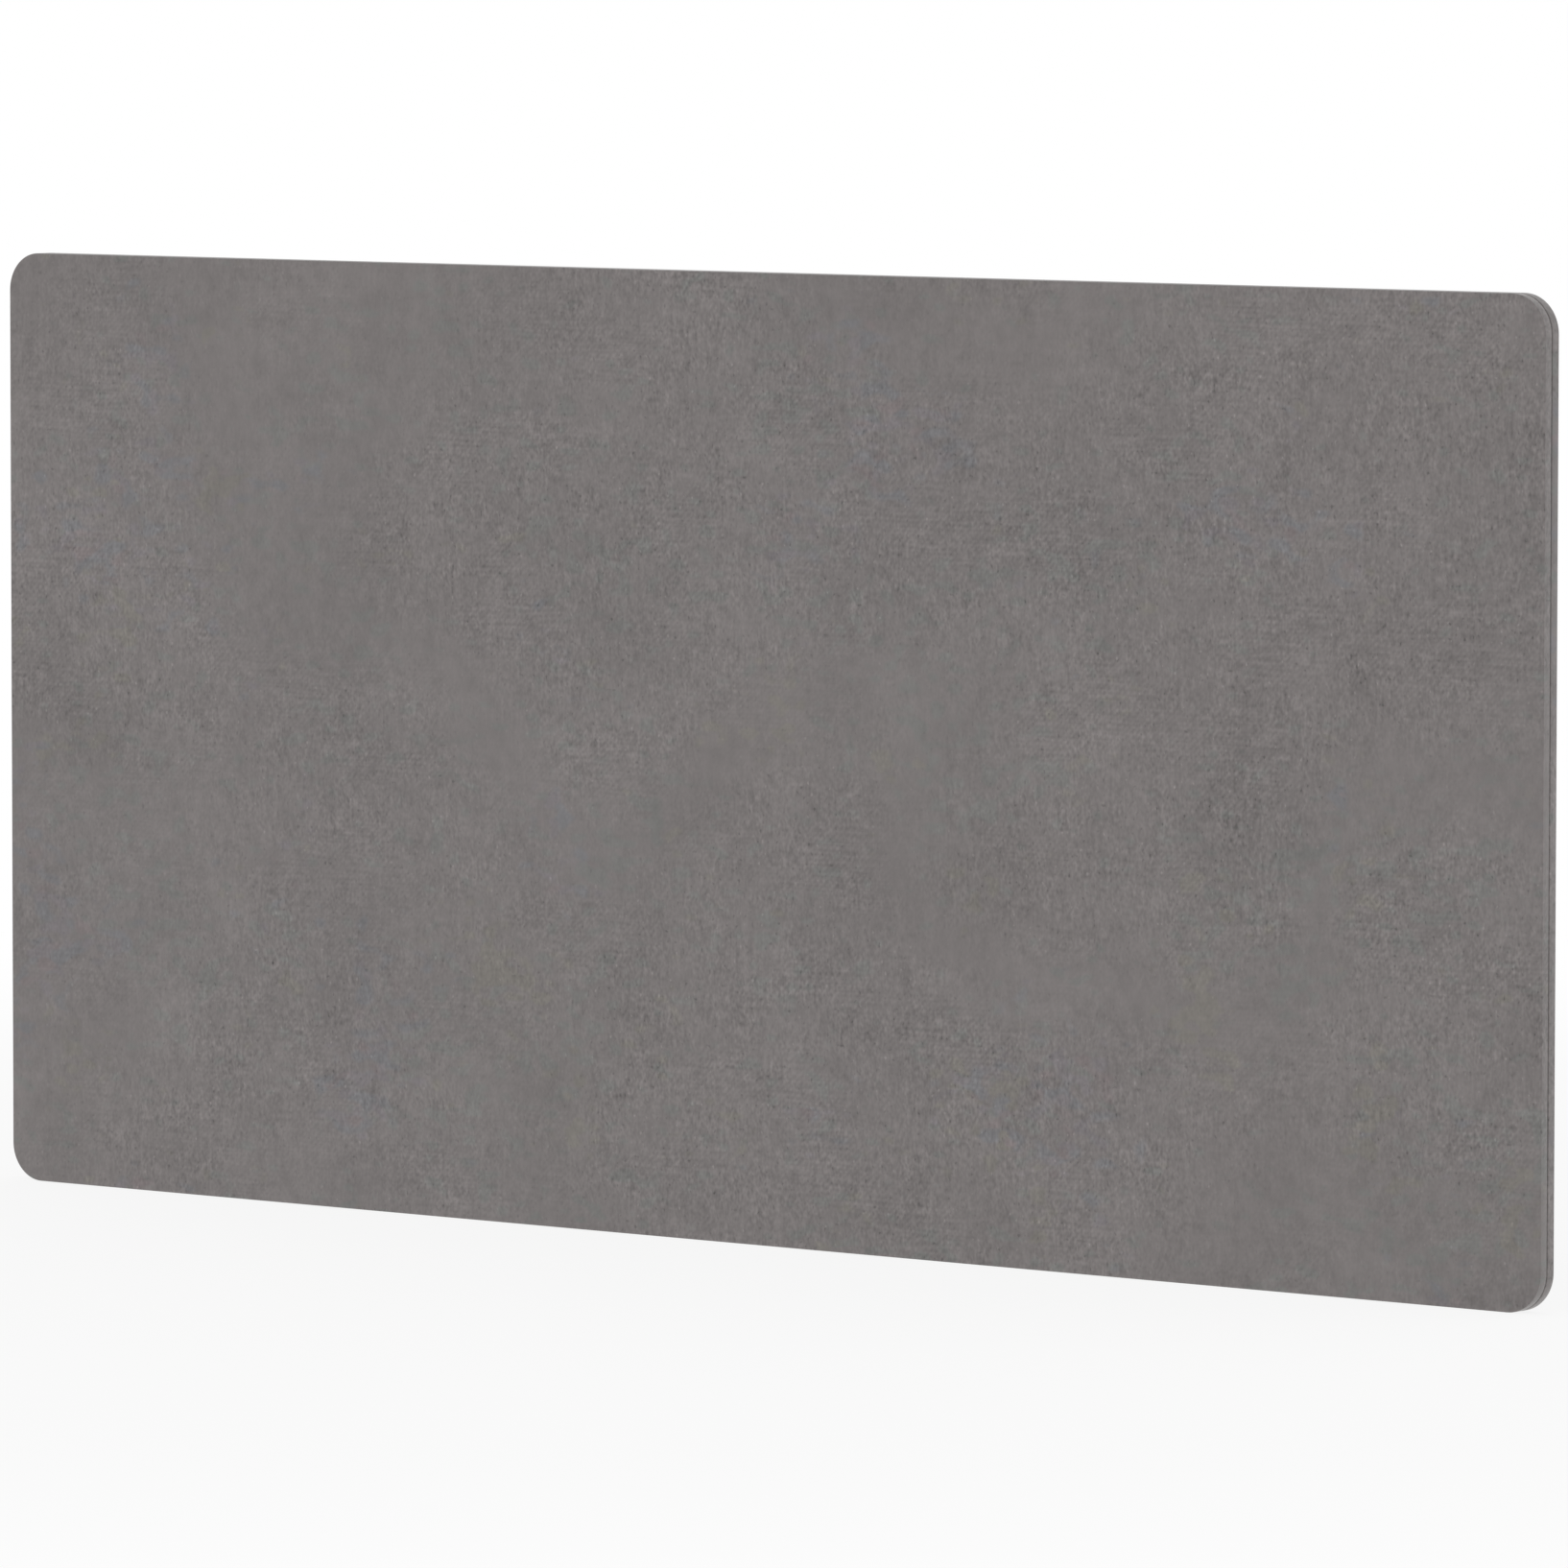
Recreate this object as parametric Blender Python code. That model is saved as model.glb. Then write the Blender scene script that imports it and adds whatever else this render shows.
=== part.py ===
"""Upholstered desk screen: an upright, fabric-covered divider panel.

A dowelled frame of thin board holds three sound-absorbing pads.  A fleece lies on
each face of the frame.  A front and a back cover of wool cloth are stretched over it.
Each cover wraps its own half of the edge, and the two meet in one fine slit that runs
right round the middle of the edge.  Their hems are tucked into a saw kerf there and
wedged by a plastic strip.  Screw inserts in the bottom rail take the desk brackets.

The panel stands on its bottom edge: +X runs along its width, +Y through it from front
to back, +Z up.  The origin is the middle of the bottom edge.  All lengths are metres.
"""
import math

import bmesh
import bpy
from mathutils import Matrix, Vector

# Overall panel, measured over the cloth
PANEL_WIDTH = 1.600
PANEL_HEIGHT = 0.800
PANEL_THICKNESS = 0.019
CORNER_RADIUS = 0.032

# Clearance between pieces that lie on or in each other
FIT_GAP = 0.0003

# Cover cloth and the fleece under it
FABRIC_THICKNESS = 0.0010
ARRIS_RADIUS = 0.0008
SEAM_GAP = 0.0009
LIP_RADIUS = 0.0004
HEM_THICKNESS = 0.0007
HEM_DEPTH = 0.0060
FLEECE_THICKNESS = 0.0019

# Kerf round the frame's edge, and the strip that wedges the hems in it
KERF_DEPTH = 0.0080
STRIP_THICKNESS = 0.0006
STRIP_WIDTH = 0.0052
STRIP_END_GAP = 0.0008

# Board frame
STILE_WIDTH = 0.060
RAIL_WIDTH = 0.060
MULLION_WIDTH = 0.050
BAY_NAMES = ("left", "middle", "right")

# Dowels that join the frame, two at each joint
DOWEL_DIAMETER = 0.006
DOWEL_LENGTH = 0.030
DOWEL_CHAMFER = 0.0007
DOWEL_SPACING = 0.028

# Brass screw inserts for the desk brackets, one pair for each bracket
INSERT_DIAMETER = 0.008
INSERT_THREAD_BORE = 0.005
INSERT_GROOVE_WIDTH = 0.0016
INSERT_GROOVE_DEPTH = 0.0004
INSERT_BLIND_WALL = 0.002
INSERT_SPACING = 0.064
BRACKET_FROM_END = 0.250
INSERT_HEIGHT = 0.034
COVER_HOLE_DIAMETER = 0.0074

# Facets of round shapes
CORNER_SEGMENTS = 12
SMALL_ARC_SEGMENTS = 3
DOWEL_SEGMENTS = 12
INSERT_SEGMENTS = 16

# How far a cutter reaches past the surface that it opens
CUTTER_REACH = 0.005

# Layers through the thickness, from the middle plane outwards
FACE_Y = PANEL_THICKNESS / 2
CLOTH_INNER_Y = FACE_Y - FABRIC_THICKNESS
FLEECE_OUTER_Y = CLOTH_INNER_Y - FIT_GAP
FRAME_FACE_Y = FLEECE_OUTER_Y - FLEECE_THICKNESS - FIT_GAP
FRAME_THICKNESS = 2 * FRAME_FACE_Y

# Layers across the kerf, from the middle plane outwards
HEM_INNER_Y = STRIP_THICKNESS / 2 + FIT_GAP
HEM_OUTER_Y = HEM_INNER_Y + HEM_THICKNESS
KERF_HALF_WIDTH = HEM_OUTER_Y + FIT_GAP

# Distances in from the panel's outline
FRAME_INSET = FABRIC_THICKNESS + FIT_GAP
KERF_FLOOR_INSET = FRAME_INSET + KERF_DEPTH

# The frame's members, about the middle of the panel
FRAME_HALF_WIDTH = PANEL_WIDTH / 2 - FRAME_INSET
FRAME_HALF_HEIGHT = PANEL_HEIGHT / 2 - FRAME_INSET
STILE_INNER_X = FRAME_HALF_WIDTH - STILE_WIDTH
RAIL_INNER_Z = FRAME_HALF_HEIGHT - RAIL_WIDTH
MULLION_COUNT = len(BAY_NAMES) - 1
BAY_WIDTH = (2 * STILE_INNER_X - MULLION_COUNT * MULLION_WIDTH) / len(BAY_NAMES)

# Screw inserts, about the middle of the panel
INSERT_LENGTH = FRAME_THICKNESS - INSERT_BLIND_WALL - FIT_GAP
INSERT_Z = INSERT_HEIGHT - PANEL_HEIGHT / 2
BRACKET_X = PANEL_WIDTH / 2 - BRACKET_FROM_END


def clear_scene():
    for scene_object in list(bpy.data.objects):
        bpy.data.objects.remove(scene_object, do_unlink=True)


def material(name, srgb, roughness, metallic=0.0):
    """A Principled material from an sRGB hex colour."""
    channels = [int(srgb[i:i + 2], 16) / 255 for i in (0, 2, 4)]
    linear = [c / 12.92 if c <= 0.04045 else ((c + 0.055) / 1.055) ** 2.4 for c in channels]
    finish = bpy.data.materials.new(name)
    finish.use_nodes = True
    finish.diffuse_color = (*linear, 1.0)
    shader = finish.node_tree.nodes["Principled BSDF"]
    shader.inputs["Base Color"].default_value = (*linear, 1.0)
    shader.inputs["Roughness"].default_value = roughness
    shader.inputs["Metallic"].default_value = metallic
    return finish


def mesh_from(bm, name, smooth_angle=None):
    """Turn a finished bmesh into a mesh whose faces point outwards."""
    bmesh.ops.recalc_face_normals(bm, faces=bm.faces)
    mesh = bpy.data.meshes.new(name)
    bm.to_mesh(mesh)
    bm.free()
    if smooth_angle is not None:
        mesh.shade_smooth()
        mesh.set_sharp_from_angle(angle=smooth_angle)
    return mesh


def place(name, mesh, finish, location=(0, 0, 0), rotation=(0, 0, 0)):
    """Add a sub-part to the panel, at a place measured from the panel's middle."""
    piece = bpy.data.objects.new(name, mesh)
    if finish is not None and not mesh.materials:
        mesh.materials.append(finish)
    piece.location = location
    piece.rotation_euler = rotation
    piece.parent = panel_middle
    bpy.context.scene.collection.objects.link(piece)
    return piece


def cutter(name, mesh):
    """A hidden shape that only cuts others."""
    shape = place(name, mesh, None)
    shape.hide_render = True
    shape.display_type = 'WIRE'
    return shape


def cut(piece, shape):
    boolean = piece.modifiers.new(shape.name, 'BOOLEAN')
    boolean.operation = 'DIFFERENCE'
    boolean.solver = 'EXACT'
    boolean.object = shape


def arc(centre, radius, start, end, segments):
    """Points of an arc, from one angle to another in degrees."""
    points = []
    for step in range(segments + 1):
        angle = math.radians(start + (end - start) * step / segments)
        points.append((centre[0] + radius * math.cos(angle), centre[1] + radius * math.sin(angle)))
    return points


def corner_arc(inset, side_x, side_z):
    """One rounded corner of the panel's outline, moved in by an inset."""
    centre_x = side_x * (PANEL_WIDTH / 2 - CORNER_RADIUS)
    centre_z = side_z * (PANEL_HEIGHT / 2 - CORNER_RADIUS)
    start = {(1, 1): 0, (-1, 1): 90, (-1, -1): 180, (1, -1): 270}[(side_x, side_z)]
    return arc((centre_x, centre_z), CORNER_RADIUS - inset, start, start + 90, CORNER_SEGMENTS)


def outline(inset):
    """The panel's rounded rectangle, moved in by an inset."""
    return [point for sides in ((1, 1), (-1, 1), (-1, -1), (1, -1)) for point in corner_arc(inset, *sides)]


def add_band(bm, first, second):
    """Four-sided faces between two loops with as many points."""
    for i in range(len(first)):
        bm.faces.new((first[i - 1], first[i], second[i], second[i - 1]))


def sweep_round_outline(profile, closed):
    """Carry a profile of (inset, y) points round the outline, and cap it if it is open."""
    bm = bmesh.new()
    loops = [[bm.verts.new((x, y, z)) for x, z in outline(inset)] for inset, y in profile]
    for first, second in zip(loops, loops[1:]):
        add_band(bm, first, second)
    if closed:
        add_band(bm, loops[-1], loops[0])
    else:
        bm.faces.new(loops[0])
        bm.faces.new(loops[-1])
    return bm


def slab(points, half_thickness):
    """An outline in X and Z, thickened both ways from the middle plane."""
    bm = bmesh.new()
    face = bm.faces.new([bm.verts.new((x, -half_thickness, z)) for x, z in points])
    grown = bmesh.ops.extrude_face_region(bm, geom=[face])
    moved = [item for item in grown["geom"] if isinstance(item, bmesh.types.BMVert)]
    bmesh.ops.translate(bm, verts=moved, vec=(0, 2 * half_thickness, 0))
    return bm


def rectangle(width, height):
    return [(-width / 2, -height / 2), (width / 2, -height / 2), (width / 2, height / 2), (-width / 2, height / 2)]


def add_rod(bm, centre, axis, diameter, length, segments):
    """A plain cylinder along an axis."""
    turn = Vector((0, 0, 1)).rotation_difference(Vector(axis)).to_matrix().to_4x4()
    bmesh.ops.create_cone(
        bm, cap_ends=True, segments=segments, radius1=diameter / 2, radius2=diameter / 2, depth=length,
        matrix=Matrix.Translation(centre) @ turn)


def cover_mesh(name, side):
    """One cover: face cloth, its half of the edge, the rolled lip and the hem in the kerf."""
    lip_y = SEAM_GAP / 2
    profile = arc((ARRIS_RADIUS, FACE_Y - ARRIS_RADIUS), ARRIS_RADIUS, 90, 180, SMALL_ARC_SEGMENTS)
    profile += arc((LIP_RADIUS, lip_y + LIP_RADIUS), LIP_RADIUS, 180, 270, SMALL_ARC_SEGMENTS)
    profile += [
        (FABRIC_THICKNESS, lip_y),
        (FABRIC_THICKNESS, HEM_INNER_Y),
        (FABRIC_THICKNESS + HEM_DEPTH, HEM_INNER_Y),
        (FABRIC_THICKNESS + HEM_DEPTH, HEM_OUTER_Y),
        (FABRIC_THICKNESS, HEM_OUTER_Y),
        (FABRIC_THICKNESS, CLOTH_INNER_Y),
    ]
    bm = sweep_round_outline([(inset, side * y) for inset, y in profile], closed=False)
    return mesh_from(bm, name, smooth_angle=math.radians(40))


def make_covers(cloth):
    front = place("front_cover", cover_mesh("front_cover", -1), cloth)
    back = place("back_cover", cover_mesh("back_cover", 1), cloth)
    return front, back


def make_fleeces(fleece):
    """A thin fleece glued to each face of the frame, as large as the frame."""
    middle_y = FLEECE_OUTER_Y - FLEECE_THICKNESS / 2
    pieces = []
    for name, side in (("front_fleece", -1), ("back_fleece", 1)):
        mesh = mesh_from(slab(outline(FRAME_INSET), FLEECE_THICKNESS / 2), name)
        pieces.append(place(name, mesh, fleece, location=(0, side * middle_y, 0)))
    return pieces


def make_seam_strip(plastic):
    """The flat strip, pushed in edgeways between the two hems. Its ends meet under the panel."""
    half = STRIP_THICKNESS / 2
    inner = FRAME_INSET + STRIP_WIDTH
    profile = [(FRAME_INSET, -half), (inner, -half), (inner, half), (FRAME_INSET, half)]
    return place("seam_strip", mesh_from(sweep_round_outline(profile, closed=True), "seam_strip"), plastic)


def make_stiles(board):
    """The two uprights at the ends, as tall as the frame, with its corners rounded on them."""
    pieces = []
    for name, side in (("left_stile", -1), ("right_stile", 1)):
        points = [(side * STILE_INNER_X, -FRAME_HALF_HEIGHT)]
        lower, upper = corner_arc(FRAME_INSET, side, -1), corner_arc(FRAME_INSET, side, 1)
        points += lower + upper if side > 0 else lower[::-1] + upper[::-1]
        points += [(side * STILE_INNER_X, FRAME_HALF_HEIGHT)]
        pieces.append(place(name, mesh_from(slab(points, FRAME_FACE_Y), name), board))
    return pieces


def make_rails(board):
    """The top and bottom rails, between the stiles."""
    length = 2 * (STILE_INNER_X - FIT_GAP)
    middle_z = FRAME_HALF_HEIGHT - RAIL_WIDTH / 2
    pieces = []
    for name, side in (("bottom_rail", -1), ("top_rail", 1)):
        mesh = mesh_from(slab(rectangle(length, RAIL_WIDTH), FRAME_FACE_Y), name)
        pieces.append(place(name, mesh, board, location=(0, 0, side * middle_z)))
    return pieces


def bay_left_x(index):
    return -STILE_INNER_X + index * (BAY_WIDTH + MULLION_WIDTH)


def mullion_x(index):
    return bay_left_x(index) + BAY_WIDTH + MULLION_WIDTH / 2


def make_mullions(board):
    """The inner uprights that part the bays."""
    height = 2 * (RAIL_INNER_Z - FIT_GAP)
    pieces = []
    for index, (left, right) in enumerate(zip(BAY_NAMES, BAY_NAMES[1:])):
        name = f"mullion_{left}_to_{right}"
        mesh = mesh_from(slab(rectangle(MULLION_WIDTH, height), FRAME_FACE_Y), name)
        pieces.append(place(name, mesh, board, location=(mullion_x(index), 0, 0)))
    return pieces


def make_pads(felt):
    """One sound-absorbing pad in each bay, as thick as the frame."""
    width = BAY_WIDTH - 2 * FIT_GAP
    height = 2 * (RAIL_INNER_Z - FIT_GAP)
    for index, bay in enumerate(BAY_NAMES):
        name = f"absorber_pad_{bay}"
        mesh = mesh_from(slab(rectangle(width, height), FRAME_FACE_Y), name)
        place(name, mesh, felt, location=(bay_left_x(index) + BAY_WIDTH / 2, 0, 0))


def dowel_places():
    """Name, centre and axis of every dowel, two across each joint."""
    joint_x = STILE_INNER_X - FIT_GAP / 2
    joint_z = RAIL_INNER_Z - FIT_GAP / 2
    rail_z = FRAME_HALF_HEIGHT - RAIL_WIDTH / 2
    places = []
    for level, side_z in (("bottom", -1), ("top", 1)):
        for end, side_x in (("left", -1), ("right", 1)):
            for which, step in (("inner", -1), ("outer", 1)):
                centre = Vector((side_x * joint_x, 0, side_z * (rail_z + step * DOWEL_SPACING / 2)))
                places.append((f"dowel_{level}_{end}_{which}", centre, (1, 0, 0)))
        for index in range(MULLION_COUNT):
            for which, step in (("a", -1), ("b", 1)):
                centre = Vector((mullion_x(index) + step * DOWEL_SPACING / 2, 0, side_z * joint_z))
                places.append((f"dowel_{level}_mullion_{index + 1}{which}", centre, (0, 0, 1)))
    return places


def dowel_mesh():
    bm = bmesh.new()
    add_rod(bm, (0, 0, 0), (0, 0, 1), DOWEL_DIAMETER, DOWEL_LENGTH, DOWEL_SEGMENTS)
    rims = [edge for edge in bm.edges if abs(edge.verts[0].co.z - edge.verts[1].co.z) < FIT_GAP]
    bmesh.ops.bevel(bm, geom=rims, offset=DOWEL_CHAMFER, segments=1, affect='EDGES')
    return mesh_from(bm, "dowel", smooth_angle=math.radians(35))


def make_dowels(beech):
    """Beech dowels, half of each in either member."""
    mesh = dowel_mesh()
    for name, centre, axis in dowel_places():
        rotation = (0, math.pi / 2, 0) if axis[0] else (0, 0, 0)
        place(name, mesh, beech, location=centre, rotation=rotation)


def insert_places():
    """Name and X of every screw insert, a pair on each side."""
    places = []
    for side, sign in (("left", -1), ("right", 1)):
        for which, step in (("outer", 1), ("inner", -1)):
            x = sign * (BRACKET_X + step * INSERT_SPACING / 2)
            places.append((f"screw_insert_{side}_{which}", x))
    return places


def insert_mesh():
    """A brass sleeve with a groove round its middle, turned about Y and open at both ends."""
    bore, outer = INSERT_THREAD_BORE / 2, INSERT_DIAMETER / 2
    end, groove = INSERT_LENGTH / 2, INSERT_GROOVE_WIDTH / 2
    waist = outer - INSERT_GROOVE_DEPTH
    section = [
        (bore, -end), (outer, -end), (outer, -groove), (waist, -groove),
        (waist, groove), (outer, groove), (outer, end), (bore, end),
    ]
    bm = bmesh.new()
    verts = [bm.verts.new((radius, y, 0)) for radius, y in section]
    edges = [bm.edges.new((verts[i - 1], verts[i])) for i in range(len(verts))]
    bmesh.ops.spin(
        bm, geom=verts + edges, axis=(0, 1, 0), cent=(0, 0, 0), angle=math.tau,
        steps=INSERT_SEGMENTS, use_merge=True)
    return mesh_from(bm, "screw_insert", smooth_angle=math.radians(35))


def make_inserts(brass):
    """The inserts, flush with the back of the bottom rail."""
    mesh = insert_mesh()
    for name, x in insert_places():
        place(name, mesh, brass, location=(x, FRAME_FACE_Y - INSERT_LENGTH / 2, INSERT_Z))


def kerf_cutter():
    profile = [
        (-CUTTER_REACH, -KERF_HALF_WIDTH), (KERF_FLOOR_INSET, -KERF_HALF_WIDTH),
        (KERF_FLOOR_INSET, KERF_HALF_WIDTH), (-CUTTER_REACH, KERF_HALF_WIDTH),
    ]
    return cutter("kerf_cutter", mesh_from(sweep_round_outline(profile, closed=True), "kerf_cutter"))


def strip_end_cutter():
    """The small gap between the ends of the seam strip, at the middle of the bottom edge."""
    height = 2 * (FRAME_INSET + STRIP_WIDTH)
    mesh = mesh_from(slab(rectangle(STRIP_END_GAP, height), CUTTER_REACH), "strip_end_cutter")
    shape = cutter("strip_end_cutter", mesh)
    shape.location = (0, 0, -PANEL_HEIGHT / 2)
    return shape


def dowel_hole_cutter():
    bm = bmesh.new()
    for _, centre, axis in dowel_places():
        add_rod(bm, centre, axis, DOWEL_DIAMETER + 2 * FIT_GAP, DOWEL_LENGTH + 2 * FIT_GAP, DOWEL_SEGMENTS)
    return cutter("dowel_hole_cutter", mesh_from(bm, "dowel_hole_cutter"))


def insert_hole_cutter():
    """Blind holes from the back of the bottom rail."""
    floor_y = INSERT_BLIND_WALL - FRAME_FACE_Y
    top_y = FRAME_FACE_Y + CUTTER_REACH
    bm = bmesh.new()
    for _, x in insert_places():
        add_rod(bm, (x, (floor_y + top_y) / 2, INSERT_Z), (0, 1, 0),
                INSERT_DIAMETER + 2 * FIT_GAP, top_y - floor_y, INSERT_SEGMENTS)
    return cutter("insert_hole_cutter", mesh_from(bm, "insert_hole_cutter"))


def screw_hole_cutter():
    """Holes through the back fleece and the back cover, in front of the inserts."""
    top_y = FACE_Y + CUTTER_REACH
    bm = bmesh.new()
    for _, x in insert_places():
        add_rod(bm, (x, (FRAME_FACE_Y + top_y) / 2, INSERT_Z), (0, 1, 0),
                COVER_HOLE_DIAMETER, top_y - FRAME_FACE_Y, INSERT_SEGMENTS)
    return cutter("screw_hole_cutter", mesh_from(bm, "screw_hole_cutter"))


clear_scene()

panel_middle = bpy.data.objects.new("desk_screen", None)
panel_middle.location = (0, 0, PANEL_HEIGHT / 2)
bpy.context.scene.collection.objects.link(panel_middle)

wool_cloth = material("wool_cloth", "797574", roughness=0.95)
polyester_fleece = material("polyester_fleece", "D9D6CF", roughness=0.98)
black_pvc = material("black_pvc", "2B2A2A", roughness=0.55)
fibreboard = material("fibreboard", "A4825C", roughness=0.80)
recycled_felt = material("recycled_felt", "5A5E63", roughness=0.98)
beech_wood = material("beech_wood", "C9A274", roughness=0.65)
turned_brass = material("turned_brass", "B8954F", roughness=0.35, metallic=1.0)

front_cover, back_cover = make_covers(wool_cloth)
front_fleece, back_fleece = make_fleeces(polyester_fleece)
seam_strip = make_seam_strip(black_pvc)
stiles = make_stiles(fibreboard)
bottom_rail, top_rail = make_rails(fibreboard)
mullions = make_mullions(fibreboard)
make_pads(recycled_felt)
make_dowels(beech_wood)
make_inserts(turned_brass)

cut(seam_strip, strip_end_cutter())
kerf = kerf_cutter()
dowel_holes = dowel_hole_cutter()
insert_holes = insert_hole_cutter()
screw_holes = screw_hole_cutter()
for member in (*stiles, bottom_rail, top_rail):
    cut(member, kerf)
for member in (*stiles, bottom_rail, top_rail, *mullions):
    cut(member, dowel_holes)
cut(bottom_rail, insert_holes)
for layer in (back_fleece, back_cover):
    cut(layer, screw_holes)
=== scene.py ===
"""Looks of an upholstered desk screen: a dowelled board frame with sound-absorbing pads,
fleece on both faces, and two wool covers that meet in a slit round the edge."""
import math

import bmesh
import bpy
from mathutils import Matrix, Vector, noise


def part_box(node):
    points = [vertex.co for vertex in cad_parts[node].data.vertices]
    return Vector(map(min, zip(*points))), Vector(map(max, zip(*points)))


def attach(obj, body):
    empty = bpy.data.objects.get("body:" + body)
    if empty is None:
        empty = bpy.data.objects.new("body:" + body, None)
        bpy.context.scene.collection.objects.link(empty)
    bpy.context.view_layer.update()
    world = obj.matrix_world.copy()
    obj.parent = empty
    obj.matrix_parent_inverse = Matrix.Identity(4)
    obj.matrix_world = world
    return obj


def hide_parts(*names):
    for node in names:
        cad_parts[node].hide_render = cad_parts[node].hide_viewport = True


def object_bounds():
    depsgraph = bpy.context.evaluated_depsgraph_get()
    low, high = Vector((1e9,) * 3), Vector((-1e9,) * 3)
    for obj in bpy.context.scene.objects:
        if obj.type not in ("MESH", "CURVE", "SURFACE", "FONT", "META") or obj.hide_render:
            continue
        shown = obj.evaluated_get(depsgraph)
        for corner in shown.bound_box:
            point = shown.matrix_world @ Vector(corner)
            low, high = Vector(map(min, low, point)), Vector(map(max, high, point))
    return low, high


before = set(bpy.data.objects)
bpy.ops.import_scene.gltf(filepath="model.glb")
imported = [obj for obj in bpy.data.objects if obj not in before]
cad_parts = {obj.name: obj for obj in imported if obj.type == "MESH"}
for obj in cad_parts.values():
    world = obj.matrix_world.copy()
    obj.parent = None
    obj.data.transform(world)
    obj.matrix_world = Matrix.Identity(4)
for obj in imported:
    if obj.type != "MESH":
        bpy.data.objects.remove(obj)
cad_low, cad_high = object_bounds()


# ---- Board frame -------------------------------------------------------------------------
# Two stiles, two rails and two mullions of 12 mm medium-density fibreboard, sawn to width,
# sanded on both faces and joined with dowels and glue. A saw kerf runs round the outside.

MM_PER_METRE = 1000.0
BOARD_MEMBERS = (
    "left_stile", "right_stile", "bottom_rail", "top_rail",
    "mullion_left_to_middle", "mullion_middle_to_right",
)
# Bundles of fibres. One fibre is too fine to show.
BOARD_FIBRE_MM = 1.3
BOARD_CLOUD_MM = 45.0
BOARD_CLOUDINESS = 0.12
BOARD_DARK_FIBRE = "7C5F40"
BOARD_PALE_FIBRE = "BFA27A"
BOARD_FIBRE_RANGE = (0.30, 0.72)
BOARD_FIBRE_RELIEF = 0.00006
SAWN_SHADE = 0.80
SANDED_SHADE = 0.96


def linear(colour):
    """An sRGB hex colour as the linear RGBA that a socket takes."""
    channels = [int(colour[i:i + 2], 16) / 255 for i in (0, 2, 4)]
    return (*(c / 12.92 if c <= 0.04045 else ((c + 0.055) / 1.055) ** 2.4 for c in channels), 1.0)


def node(tree, kind, inputs=None, **settings):
    """Add a shader node with its settings, and set or link the inputs named.

    Inputs that share a name go by number: the colours that a Mix node mixes are 6 and 7.
    """
    added = tree.nodes.new("ShaderNode" + kind)
    for name, value in settings.items():
        setattr(added, name, value)
    for name, value in (inputs or {}).items():
        if isinstance(value, bpy.types.NodeSocket):
            tree.links.new(value, added.inputs[name])
        else:
            added.inputs[name].default_value = value
    return added


def new_finish(name, roughness, ior=1.5, specular=0.5, metallic=0.0, laid_flat=False):
    """Make a material, and give it with its node tree, its shader and coordinates in mm.

    The coordinates are on the cloth as it lay flat on the roll, or else on the object.
    """
    finish = bpy.data.materials.new(name)
    finish.use_nodes = True
    tree = finish.node_tree
    shader = tree.nodes["Principled BSDF"]
    shader.inputs["Roughness"].default_value = roughness
    shader.inputs["IOR"].default_value = ior
    shader.inputs["Specular IOR Level"].default_value = specular
    shader.inputs["Metallic"].default_value = metallic
    if laid_flat:
        place = node(tree, "UVMap", uv_map="laid_flat").outputs["UV"]
    else:
        place = node(tree, "TexCoord").outputs["Object"]
    in_mm = node(tree, "VectorMath", {
        0: place, "Scale": MM_PER_METRE}, operation="SCALE").outputs[0]
    return finish, tree, shader, in_mm


def give_finish(name, finish):
    """Put a finish in every slot of a node of the frame."""
    for mesh_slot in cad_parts[name].material_slots:
        mesh_slot.material = finish


def sanded_fibreboard():
    """Pressed wood fibre, sanded: an even warm tan with fine pale and dark fibres. The sawn
    edges are darker."""
    finish, tree, shader, in_mm = new_finish(
        "sanded_fibreboard", roughness=0.82, ior=1.53, specular=0.3)
    fibres = node(tree, "TexNoise", {
        "Vector": in_mm, "Scale": 1 / BOARD_FIBRE_MM, "Detail": 4.0}).outputs["Fac"]
    low, high = BOARD_FIBRE_RANGE
    tone = node(tree, "MapRange", {0: fibres, "From Min": low, "From Max": high}).outputs[0]
    fibrous = node(tree, "Mix", {
        0: tone, 6: linear(BOARD_DARK_FIBRE), 7: linear(BOARD_PALE_FIBRE)},
        data_type="RGBA").outputs[2]
    normal = node(tree, "NewGeometry").outputs["Normal"]
    facing = node(tree, "SeparateXYZ", {0: normal}).outputs["Y"]
    sanded = node(tree, "Math", {0: facing}, operation="ABSOLUTE").outputs[0]
    shade = node(tree, "MapRange", {
        0: sanded, "To Min": SAWN_SHADE, "To Max": SANDED_SHADE}).outputs[0]
    clouds = node(tree, "TexNoise", {
        "Vector": in_mm, "Scale": 1 / BOARD_CLOUD_MM, "Detail": 2.0}).outputs["Fac"]
    cloudy = node(tree, "Math", {
        0: clouds, 1: BOARD_CLOUDINESS, 2: shade}, operation="MULTIPLY_ADD").outputs[0]
    colour = node(tree, "VectorMath", {0: fibrous, "Scale": cloudy}, operation="SCALE")
    relief = node(tree, "Bump", {"Height": fibres, "Distance": BOARD_FIBRE_RELIEF})
    tree.links.new(colour.outputs[0], shader.inputs["Base Color"])
    tree.links.new(relief.outputs[0], shader.inputs["Normal"])
    return finish


board_finish = sanded_fibreboard()
for member in BOARD_MEMBERS:
    give_finish(member, board_finish)


# ---- Dowels ------------------------------------------------------------------------------
# Sixteen fluted beech dowels, turned and pressed, glued half into either member of a joint.
# The flutes let glue and air out.

DOWEL_FLUTES = 18
DOWEL_FLUTE_DEPTH = 0.00018
DOWEL_CHAMFER = 0.0007
BEECH_COLOUR = "C9A274"
BEECH_DARK = "A67F52"
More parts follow.
